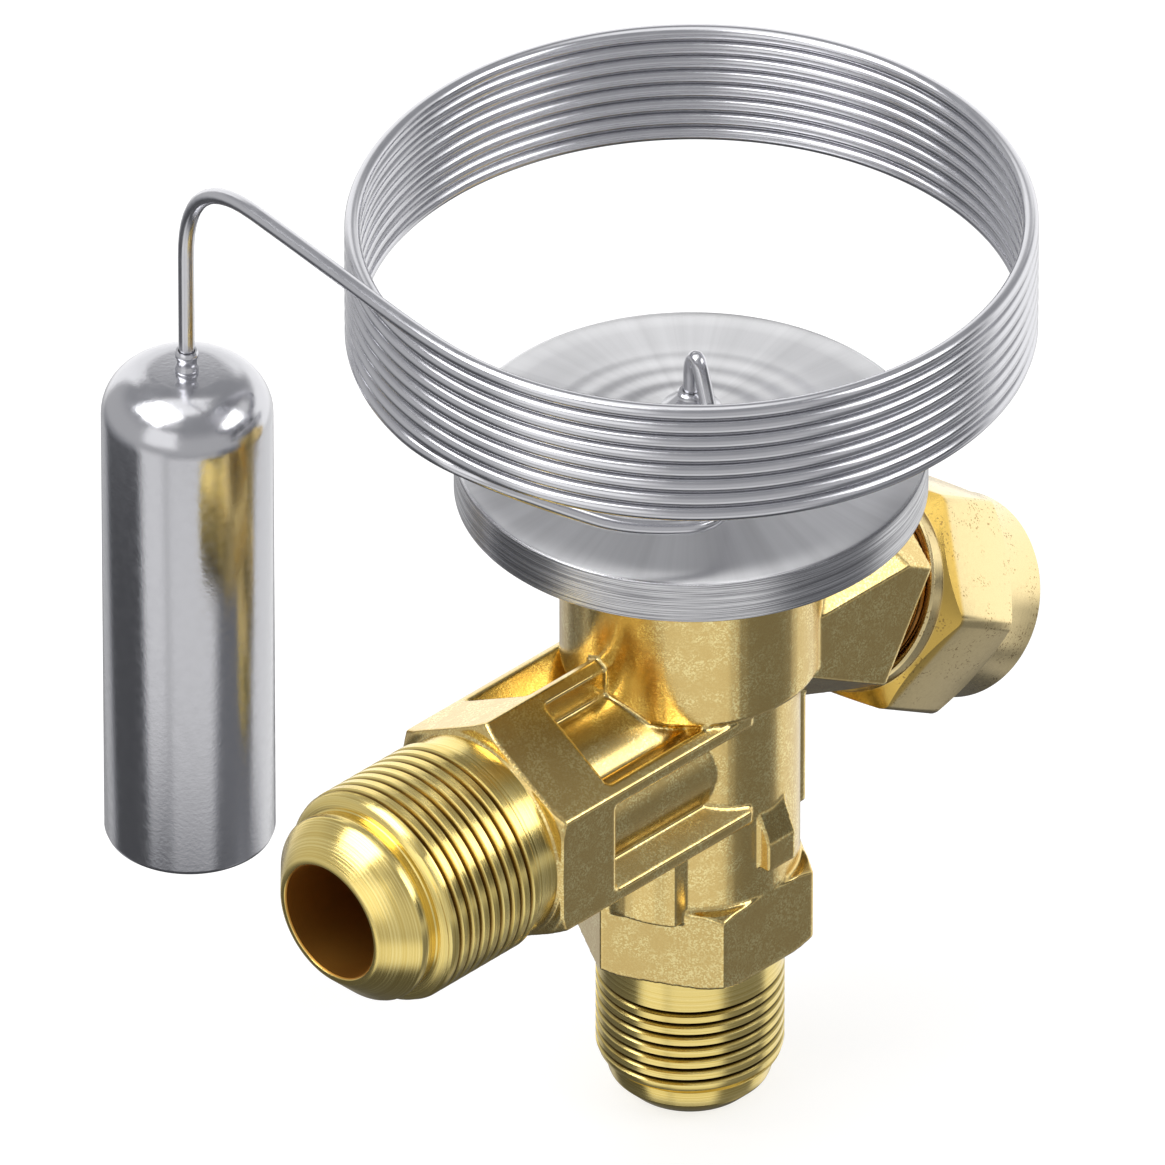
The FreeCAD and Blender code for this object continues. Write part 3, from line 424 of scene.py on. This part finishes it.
def brushed_steel():
    """Stainless sheet brushed as it spins: faint streaks fan out over its faces, and sharp lines run round
    its rim."""
    material, tree, shader = metal("brushed_steel", "#C8C8C8", 0.32, 0.6)
    vector = place_coordinates(tree, "valve")
    _, radius, direction = along_and_across(tree, vector)
    fan = noise(tree, direction, 7.0, 6.0, 0.62)
    around, along = 1 / (14 * MM), 1 / (0.1 * MM)
    stretched = add_node(tree, "ShaderNodeVectorMath", {0: vector, 1: (around, around, along)},
                         operation="MULTIPLY").outputs[0]
    lines = noise(tree, stretched, 1.0, 4.0, 0.7)
    rim = spread(tree, radius, (ELEMENT_RADIUS - 0.5) * MM, (ELEMENT_RADIUS - 0.1) * MM, 0.0, 1.0)
    face = blended(tree, from_noise(tree, fan, 0.0, 1.0), "#C4C4C6", "#D2D2D4")
    edge = blended(tree, spread(tree, lines, 0.36, 0.64, 0.0, 1.0), "#86868A", "#E0E0E2")
    tree.links.new(blended(tree, rim, face, edge), shader.inputs["Base Color"])
    tree.links.new(spread(tree, rim, 0.0, 1.0, 0.34, 0.25), shader.inputs["Roughness"])
    tangent = add_node(tree, "ShaderNodeTangent", direction_type="RADIAL", axis="Z")
    tree.links.new(tangent.outputs[0], shader.inputs["Tangent"])
    bump(tree, shader, lines, 0.003)
    return material


def drawn_stainless():
    """Capillary tube as drawn: bright and a little blue, with a faint waviness."""
    material, tree, shader = metal("drawn_stainless", "#CFCFD3", 0.18)
    vector = place_coordinates(tree, "valve")
    gloss = from_noise(tree, grain(tree, vector, 2.5), 0.17, 0.24)
    tree.links.new(gloss, shader.inputs["Roughness"])
    bump(tree, shader, grain(tree, vector, 1.0), 0.003)
    return material


def polished_stainless():
    """The bulb's tumbled polish: nearly a mirror, with a fine orange peel."""
    material, tree, shader = metal("polished_stainless", "#C8C8CC", 0.15)
    vector = place_coordinates(tree, "valve")
    gloss = from_noise(tree, grain(tree, vector, 0.8), 0.15, 0.21)
    tree.links.new(gloss, shader.inputs["Roughness"])
    bump(tree, shader, grain(tree, vector, 0.35), 0.008)
    return material


def plain_metal(name, base, roughness):
    """The inner pieces: turned or ground, with fine rings."""
    material, tree, shader = metal(name, base, roughness)
    marks = rings(tree, place_coordinates(tree, "valve"), 0.2)
    gloss = from_noise(tree, marks, roughness - 0.06, roughness + 0.06)
    tree.links.new(gloss, shader.inputs["Roughness"])
    bump(tree, shader, marks, 0.004)
    return material


def seal_material(name, base):
    """Rubber or pressed fibre."""
    material, tree, shader = metal(name, base, 0.6)
    shader.inputs["Metallic"].default_value = 0.0
    gloss = from_noise(tree, grain(tree, place_coordinates(tree, "valve"), 0.2), 0.5, 0.7)
    tree.links.new(gloss, shader.inputs["Roughness"])
    return material


# Pieces

def body_forging(material):
    """The forged part of the body, without its three turned ends."""
    piece = node_copy("valve_body", "body_forging")
    far = 60
    inlet_side = block((-far, -far, -far), (far, far, HEX_BOTTOM - 0.3))
    outlet_side = block((-2 * far, -far, -far), (-24.9, far, far))
    boss_side = on_axis(block((-12, -12, 19.7), (12, 12, far)), "spindle")
    carve(piece, inlet_side, outlet_side, boss_side)
    return dress(softened(piece), material, "valve", "forged_brass", "valve_body")


def turned_end(name, profile, end, axis, material):
    """One turned end of the body, with its thread cut."""
    piece = carve(turned(name, profile), thread_cutter(end))
    dress(on_axis(smoothed(piece), axis), material, "valve", "forged_brass", "valve_body")


def turned_ends():
    """The body's two flare ends, and the threaded end of its boss that the cap screws onto."""
    bore, crest = INLET_END.bore, INLET_END.crest
    turned_end("inlet_end", [
        (bore, 12.4), (crest, 12.4), (crest, 0.1), (7.75, -0.45), (7.3, -0.7), (6.75, -0.75),
        (6.75, -0.95), (6.95, -1.05), (6.95, -2.35), (6.85, -2.6), (5.6, -3.9), (5.35, -4.05), (4.75, -4.05),
        (bore, -3.9)], INLET_END, "valve", lathe_brass("inlet_brass", "valve", INLET_END, 0.0, 9.0))
    bore, crest = OUTLET_END.bore, OUTLET_END.crest
    turned_end("outlet_end", [
        (bore, 24.0), (9.1, 24.0), (9.1, 27.0), (crest, 27.4), (crest, 37.0), (9.3, 37.6), (8.75, 37.98),
        (8.3, 38.05), (8.2, 38.15), (8.2, 38.65), (8.28, 38.78), (8.38, 39.0), (8.4, 39.7), (8.28, 39.95),
        (5.85, 42.38), (5.6, 42.5), (5.3, 42.5), (bore, 42.35)], OUTLET_END, "outlet",
        # A lighter painted shade in the outlet thread's groove
        lathe_brass("outlet_brass", "outlet", OUTLET_END, 27.4, 37.2, cut=0.018, groove_shade="#866A34"))
    bore, crest = BOSS_END.bore, BOSS_END.crest
    turned_end("boss_end", [
        (bore, 18.0), (crest, 18.0), (crest, 25.5), (7.0, 26.0), (5.2, 26.0), (bore, 25.85)],
        # The boss thread's dark copper-brown skin is painted shade, for the shadowed gap under the cap
        BOSS_END, "spindle", lathe_brass("boss_brass", "spindle", BOSS_END, 19.7, 25.6,
                                         skin=("#8E6238", "#B98850")))


def seal_cap(material):
    """The hexagon cap: a turned blank milled to six flats, and hollow from its mouth past the gasket."""
    across = 18.8
    corner = across / math.sqrt(3)
    cap = turned("cap_shell", [
        (0, 21.5), (8.9, 21.5), (9.1, 21.7), (9.1, 22.86), (corner, 24.25), (corner, 30.9), (9.5, 31.7),
        (8.7, 31.75), (8.7, 36.9), (8.5, 37.2), (8.2, 37.45), (7.7, 37.65), (7.2, 37.7), (0, 37.7)],
        closed=False)
    bpy.ops.object.select_all(action="DESELECT")
    bpy.ops.mesh.primitive_cylinder_add(
        vertices=6, radius=corner * MM, depth=20 * MM, location=(0, 0, 30 * MM))
    flats = bpy.context.object
    bpy.ops.object.transform_apply(location=True, rotation=True, scale=True)
    modify(flats, "BEVEL", width=0.7 * MM, segments=6, limit_method="ANGLE", angle_limit=math.radians(50),
           offset_type="OFFSET")
    flats.rotation_euler.z = math.radians(-7.5)
    pick(flats)
    bpy.ops.object.transform_apply(location=False, rotation=True, scale=False)
    modify(cap, "BOOLEAN", object=flats, operation="INTERSECT", solver="EXACT")
    bpy.data.objects.remove(flats)
    carve(cap, turned("cap_cavity", [
        (0, 21.4), (8.6, 21.4), (8.6, 22.6), (7.55, 22.6), (7.55, 26.8), (5.2, 26.8), (5.2, 29.5), (0, 29.5)],
        closed=False))
    modify(cap, "BEVEL", width=0.16 * MM, segments=3, limit_method="ANGLE", angle_limit=math.radians(24))
    dress(on_axis(smoothed(cap, 30), "spindle"), material, "cap", "turned_brass", "seal_cap")


def element(material, ferrule_material):
    """The diaphragm element's two shells, the cover with its pressed ridges, and the tube's ferrule."""
    rim = ELEMENT_RADIUS
    low = NECK_TOP
    spigot = 8.15
    housing = turned("lower_shell", [
        (spigot - 1.25, low - SPIGOT_LENGTH), (spigot, low - SPIGOT_LENGTH), (spigot, low),
        (rim - 0.15, low), (rim, low + 0.15), (rim, low + 1.9), (14.5, low + 1.9), (14.5, low + 1.0),
        (spigot - 1.25, low + 1.0)], steps=220)
    dress(smoothed(housing), material, "valve", "brushed_sheet", "element_lower_housing")
    top = COVER_TOP
    bottom = low + 1.9
    edge = top - 2.5
    ridges = []
    for step in range(30):
        radius = 13.0 - 0.275 * step
        wave = 0.04 * math.cos(math.pi * (radius - 13.0) / 1.35)
        ridges.append((radius, edge + 0.65 + (13.6 - radius) * 0.15 + wave))
    outer = [(14.5, bottom), (rim, bottom), (rim, edge - 0.12), (rim - 0.15, edge)]
    outer += [(17.0, edge + 0.32), (14.4, edge + 0.6), (13.6, edge + 0.68)]
    inner = [(3.6, top - 0.12), (3.2, top), (TUBE_HOLE, top), (TUBE_HOLE, top - 0.9), (3.2, top - 0.9)]
    cover = turned("upper_shell", outer + ridges + inner, steps=220)
    dress(smoothed(cover, 45), material, "valve", "brushed_sheet", "element_upper_cover")
    ferrule = turned("tube_ferrule", [
        (TUBE_HOLE, top), (2.5, top), (2.6, top + 0.1), (2.6, top + 1.5), (2.45, top + 1.7),
        (1.2, top + 2.85), (1.15, top + 3.0), (1.15, top + 3.2), (1.0, top + 3.35),
        (TUBE_HOLE, top + 3.35)], steps=64)
    dress(smoothed(ferrule), ferrule_material, "valve", "drawn_tube", "capillary_ferrule")


def capillary(material):
    """The formed tube: hairpin and lead from the element, eight turns, and the tail to the bulb."""
    exit_angle = math.radians(173.5)
    coil_radius, pitch, turns, steps = 28.095, 1.44, 8, 24
    coil_bottom = COVER_TOP + 9.468
    outward = Vector((math.cos(exit_angle), math.sin(exit_angle), 0))
    heading = Vector((outward.y, -outward.x, 0))
    lead = [(0, 0, -1.0), (0, 0, 3.5), (0, 0, 6.2), (-0.2, -0.9, 7.3), (-0.42, -1.75, 5.6),
            (-0.85, -3.3, 1.75), (-9.0, -14.6, 1.5), (-16.9, -9.5, 2.4), (-21.3, -6.0, 5.0),
            (-25.9, -3.2, 8.2)]
    points = [Vector((x, y, COVER_TOP + z)) for x, y, z in lead]
    spread_radius = coil_radius / math.cos(math.pi / steps)
    for step in range(steps * turns + 1):
        angle = exit_angle - 2 * math.pi * step / steps
        points.append(Vector((spread_radius * math.cos(angle), spread_radius * math.sin(angle),
                              coil_bottom + pitch * step / steps)))
    tail, bend = 32.1, 18.9
    corner = outward * coil_radius + heading * tail
    corner.z = points[-1].z
    points += [corner - heading * bend, corner, Vector((corner.x, corner.y, corner.z - bend)),
               Vector((corner.x, corner.y, BULB_HIGH.z / MM))]
    bpy.ops.object.select_all(action="DESELECT")
    bpy.ops.curve.primitive_nurbs_path_add()
    tube = bpy.context.object
    tube.name = "capillary"
    tube.data.splines.clear()
    spline = tube.data.splines.new("NURBS")
    spline.points.add(len(points) - 1)
    for point, place in zip(spline.points, points):
        point.co = (*(place * MM), 1)
    spline.use_endpoint_u = True
    spline.order_u = 3
    tube.data.bevel_depth = TUBE_RADIUS * MM
    tube.data.bevel_resolution = 5
    tube.data.resolution_u = 14
    tube.data.use_fill_caps = True
    bpy.ops.object.convert(target="MESH")
    pick(tube)
    bpy.ops.object.shade_smooth()
    return dress(tube, material, "valve", "drawn_tube", "capillary_tube")


def bulb(material, neck_material):
    """The sensing bulb, with its rounded top, and the crimped neck that the tube comes into."""
    radius = BULB_RADIUS
    top = BULB_HIGH.z / MM
    low = BULB_LOW.z / MM
    knuckle = 4.4
    shoulder = [(radius - knuckle + knuckle * math.cos(math.radians(a)),
                 top - knuckle + knuckle * math.sin(math.radians(a))) for a in range(0, 91, 6)]
    shell = turned("bulb_shell", [
        (0, low), (radius - 0.5, low), (radius - 0.15, low + 0.12), (radius, low + 0.5), *shoulder, (0, top)],
        steps=200, closed=False)
    dress(stand(smoothed(shell, 50), BULB_PLACE), material, "valve", "polished_bulb", "sensing_bulb")
    neck = turned("crimped_neck", [
        (TUBE_HOLE, top), (0.95, top), (1.0, top + 0.1), (1.0, top + 0.35), (0.86, top + 0.6),
        (0.86, top + 1.35), (1.0, top + 1.5), (1.0, top + 1.8), (0.88, top + 2.05),
        (TUBE_HOLE, top + 2.05)], steps=48)
    dress(stand(smoothed(neck, 60), BULB_PLACE), neck_material, "valve", "drawn_tube", "bulb_neck")


# The pieces inside the valve that keep the solids' own meshes, by finish
INNER = {
    "inner_brass": ["orifice_body", "orifice_poppet", "spring_seat", "forked_plunger", "spindle_gland",
                    "strainer_collar", "spring_cup"],
    "inner_steel": ["element_diaphragm", "thrust_pad", "push_pin", "setting_spindle", "strainer_mesh"],
    "rubber": ["orifice_ring"],
    "fibre": ["spindle_packing", "cap_gasket"],
}


def inner_pieces():
    finishes = {"inner_brass": plain_metal("inner_brass", "#E8C878", 0.3),
                "inner_steel": plain_metal("inner_steel", "#B8B8BA", 0.3),
                "rubber": seal_material("nitrile_rubber", "#141414"),
                "fibre": seal_material("sealing_fibre", "#6E2412")}
    for finish, nodes in INNER.items():
        for node in nodes:
            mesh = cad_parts[node].data
            mesh.materials.clear()
            mesh.materials.append(finishes[finish])
    springs(finishes["inner_steel"])


def springs(material):
    """The two springs, each a copy of its solid's mesh with a mesh of its own. The valve's stroke shortens
    them from their upper ends.
    """
    for node, name in (("superheat_spring", "superheat_coil"), ("orifice_spring", "orifice_coil")):
        coil = dress(node_copy(node, name), material, "valve", "spring_steel", node)
        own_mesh(coil)


# Studio

# Each panel of the surroundings: azimuth, elevation, half width, half height, soft edge (degrees), level
PANELS = [
    (0, 0, 200, 24, 14, 0.6),
    (0, 90, 200, 18, 5, 1.3),
    (55, 74, 55, 8, 5, 1.3),
    (-170, 14, 22, 18, 6, 1.25),
    (-168, 55, 20, 12, 8, 0.75),
    (25, -6, 55, 22, 6, 1.3),
    (70, 15, 13, 24, 5, 1.3),
    (42, 21, 25, 11, 7, 1.2),
    (-50, 29, 28, 9, 5, 0.85),
    (-56, 6, 20, 12, 5, 0.1),
    (-62, -37, 34, 20, 8, 0.22),
    (12, -33, 20, 10, 6, 1.0),
    (72, -36, 18, 14, 9, 0.55),
    (-6, -36, 26, 11, 5, 0.95),
    (-28, -62, 24, 9, 6, 0.4),
    (-129, -40, 35, 16, 9, 0.9),
    (178, -36, 17.5, 16, 7, 0.95),
]
# The room's own level below and above the horizon
LOWER_LEVEL = 0.1
UPPER_LEVEL = 0.4


def surroundings():
    """A dim room with soft bright panels, which the metals reflect. The camera sees it nearly white."""
    world = bpy.data.worlds.new("studio")
    bpy.context.scene.world = world
    world.use_nodes = True
    tree = world.node_tree
    place = add_node(tree, "ShaderNodeTexCoord").outputs["Generated"]
    parts = add_node(tree, "ShaderNodeSeparateXYZ", {"Vector": place}).outputs
    across = computed(tree, "ARCTAN2", parts["Y"], parts["X"])
    up = computed(tree, "ARCSINE", parts["Z"])
    level = spread(tree, up, 0.0, math.radians(12), LOWER_LEVEL, UPPER_LEVEL)
    for azimuth, elevation, half_width, half_height, edge, value in PANELS:
        aside = computed(tree, "SUBTRACT", across, math.radians(azimuth))
        around = computed(tree, "WRAP", aside, math.pi, -math.pi)
        above = computed(tree, "SUBTRACT", up, math.radians(elevation))
        masks = []
        for offset, half in ((around, half_width), (above, half_height)):
            distance = computed(tree, "ABSOLUTE", offset)
            inner, outer = math.radians(half - edge), math.radians(half + edge)
            masks.append(spread(tree, distance, inner, outer, 1.0, 0.0))
        level = mixed(tree, product(tree, *masks), level, value)
    camera_ray = add_node(tree, "ShaderNodeLightPath").outputs["Is Camera Ray"]
    tint = blended(tree, spread(tree, level, 0.1, 0.8, 0.0, 1.0), "#F6F8FF", "#FFFFFF")
    background = tree.nodes["Background"]
    tree.links.new(tint, background.inputs["Color"])
    tree.links.new(mixed(tree, camera_ray, level, 1.0), background.inputs["Strength"])


def floor():
    """A white floor that keeps the soft shadow. Reflections pass through it to the surroundings."""
    bpy.ops.object.select_all(action="DESELECT")
    gap = 0.2 * MM
    bpy.ops.mesh.primitive_plane_add(size=4, location=(0, 0, cad_box[0][2] - gap))
    ground = bpy.context.object
    ground.name = "floor"
    material = bpy.data.materials.new("floor_white")
    material.use_nodes = True
    tree = material.node_tree
    tree.nodes.remove(tree.nodes["Principled BSDF"])
    path = add_node(tree, "ShaderNodeLightPath").outputs
    paper = add_node(tree, "ShaderNodeBsdfDiffuse", {"Color": (0.4, 0.4, 0.4, 1)}).outputs[0]
    glow = add_node(tree, "ShaderNodeEmission", {"Color": (1, 1, 1, 1), "Strength": 0.72}).outputs[0]
    lit = add_node(tree, "ShaderNodeAddShader", {0: paper, 1: glow}).outputs[0]
    open_air = add_node(tree, "ShaderNodeBsdfTransparent").outputs[0]
    mirrored = computed(tree, "MAXIMUM", path["Is Glossy Ray"], path["Is Transmission Ray"])
    seen = add_node(tree, "ShaderNodeMixShader", {0: mirrored, 1: lit, 2: open_air}).outputs[0]
    tree.links.new(seen, tree.nodes["Material Output"].inputs["Surface"])
    ground.data.materials.append(material)


def lamps():
    """Two soft area lamps that face a point inside the valve."""
    distance = 0.7
    middle = Vector((0, 0, 0.04))
    for name, direction, size, power in (
            ("key", Vector((-0.6, 0.3, 1.0)), 0.5, 3.0), ("fill", Vector((0.5, -1, 0.8)), 0.4, 1.2)):
        bpy.ops.object.light_add(type="AREA", location=direction.normalized() * distance + middle)
        lamp = bpy.context.object
        lamp.name = name
        lamp.data.size = size
        lamp.data.energy = power
        lamp.rotation_euler = direction.to_track_quat("Z", "Y").to_euler()


def camera():
    """A long lens that looks down on the valve from the outlet's side."""
    back = Vector((-0.5765, -0.5765, 0.579)).normalized()
    right = Vector((0.7071, -0.7071, 0))
    up = back.cross(right)
    bpy.ops.object.camera_add()
    eye = bpy.context.object
    eye.data.lens = 1200
    eye.data.clip_end = 20
    target = Vector((-6.385, 6.385, 46.62)) * MM
    view_width = 97.08 * MM
    place = target + back * (view_width * eye.data.lens / eye.data.sensor_width)
    eye.matrix_world = Matrix.Translation(place) @ Matrix((
        (right.x, up.x, back.x), (right.y, up.y, back.y), (right.z, up.z, back.z))).to_4x4()
    bpy.context.scene.camera = eye
    bpy.context.scene.view_settings.view_transform = "Standard"


drawn = drawn_stainless()
body_forging(forged_brass())
turned_ends()
seal_cap(cap_brass())
element(brushed_steel(), drawn)
capillary(drawn)
bulb(polished_stainless(), drawn)
inner_pieces()
surroundings()
floor()
lamps()
camera()
